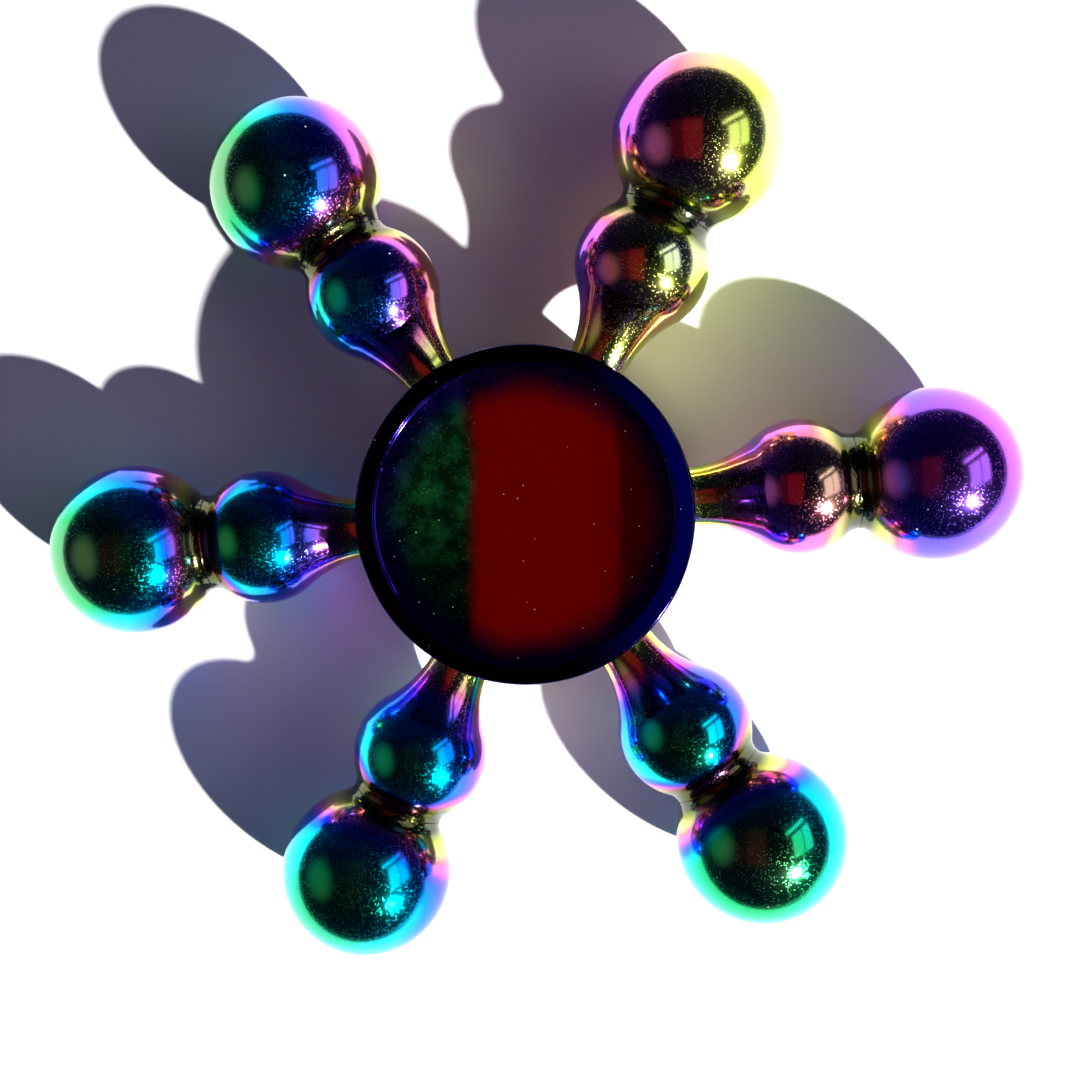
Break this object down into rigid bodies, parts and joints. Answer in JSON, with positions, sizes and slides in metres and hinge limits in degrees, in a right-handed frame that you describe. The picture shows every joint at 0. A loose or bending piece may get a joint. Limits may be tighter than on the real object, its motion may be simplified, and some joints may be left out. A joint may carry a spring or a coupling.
{
  "type": "fidget spinner",
  "caption": "Hand spinner: necked arms, each with a bead and a larger screwed-on ball, round a ball-bearing hub with dished finger caps; rainbow-plated metal.",
  "frame": {"origin": "centre of the ball bearing, on the spin axis at mid height", "axes": "+Z along the spin axis, out of the upper finger cap; +X along arm 1; arms counted anticlockwise from above"},
  "size_m": [0.08, 0.0712, 0.0148],
  "materials": {
    "rainbow_plating": "mirror polish, rainbow (oil-slick) plating: green and cyan at the ball ends, through blue and purple to red and yellow at the waists",
    "cap_plating": "mirror polish, dark red to blue-violet plating with fine scratches",
    "bearing_steel": "ground bearing steel",
    "pressed_steel": "pressed sheet steel"
  },
  "bodies": {
    "caps": {"top_cap": "cap_plating", "bottom_cap": "cap_plating", "bearing_inner_race": "bearing_steel"},
    "rotor": {"hub_ring": "rainbow_plating", "bearing_outer_race": "bearing_steel", "bearing_shield_top": "pressed_steel", "bearing_shield_bottom": "pressed_steel", "arm_1": "rainbow_plating", "arm_2": "rainbow_plating", "arm_3": "rainbow_plating", "arm_4": "rainbow_plating", "arm_5": "rainbow_plating", "arm_6": "rainbow_plating", "end_ball_1": "rainbow_plating", "end_ball_2": "rainbow_plating", "end_ball_3": "rainbow_plating", "end_ball_4": "rainbow_plating", "end_ball_5": "rainbow_plating", "end_ball_6": "rainbow_plating"},
    "cage": {"bearing_cage_top": "pressed_steel", "bearing_cage_bottom": "pressed_steel", "bearing_cage_rivets": "pressed_steel"},
    "ball_1": {"bearing_ball_1": "bearing_steel"},
    "ball_2": {"bearing_ball_2": "bearing_steel"},
    "ball_3": {"bearing_ball_3": "bearing_steel"},
    "ball_4": {"bearing_ball_4": "bearing_steel"},
    "ball_5": {"bearing_ball_5": "bearing_steel"},
    "ball_6": {"bearing_ball_6": "bearing_steel"},
    "ball_7": {"bearing_ball_7": "bearing_steel"}
  },
  "joints": [
    {"name": "spin", "type": "hinge", "parent": "caps", "child": "rotor", "pos_m": [0, 0, 0], "axis": [0, 0, 1], "continuous": true},
    {"name": "cage_orbit", "type": "hinge", "parent": "caps", "child": "cage", "pos_m": [0, 0, 0], "axis": [0, 0, 1], "continuous": true},
    {"name": "ball_1_roll", "type": "hinge", "parent": "cage", "child": "ball_1", "pos_m": [0.0075, 0, 0], "axis": [0, 0, 1], "continuous": true},
    {"name": "ball_2_roll", "type": "hinge", "parent": "cage", "child": "ball_2", "pos_m": [0.00468, 0.00586, 0], "axis": [0, 0, 1], "continuous": true},
    {"name": "ball_3_roll", "type": "hinge", "parent": "cage", "child": "ball_3", "pos_m": [-0.00167, 0.00731, 0], "axis": [0, 0, 1], "continuous": true},
    {"name": "ball_4_roll", "type": "hinge", "parent": "cage", "child": "ball_4", "pos_m": [-0.00676, 0.00325, 0], "axis": [0, 0, 1], "continuous": true},
    {"name": "ball_5_roll", "type": "hinge", "parent": "cage", "child": "ball_5", "pos_m": [-0.00676, -0.00325, 0], "axis": [0, 0, 1], "continuous": true},
    {"name": "ball_6_roll", "type": "hinge", "parent": "cage", "child": "ball_6", "pos_m": [-0.00167, -0.00731, 0], "axis": [0, 0, 1], "continuous": true},
    {"name": "ball_7_roll", "type": "hinge", "parent": "cage", "child": "ball_7", "pos_m": [0.00468, -0.00586, 0], "axis": [0, 0, 1], "continuous": true}
  ],
  "couplings": [
    {"joint": "cage_orbit", "follows": "spin", "ratio": 0.6323},
    {"joint": "ball_1_roll", "follows": "spin", "ratio": 1.7573},
    {"joint": "ball_2_roll", "follows": "spin", "ratio": 1.7573},
    {"joint": "ball_3_roll", "follows": "spin", "ratio": 1.7573},
    {"joint": "ball_4_roll", "follows": "spin", "ratio": 1.7573},
    {"joint": "ball_5_roll", "follows": "spin", "ratio": 1.7573},
    {"joint": "ball_6_roll", "follows": "spin", "ratio": 1.7573},
    {"joint": "ball_7_roll", "follows": "spin", "ratio": 1.7573}
  ]
}
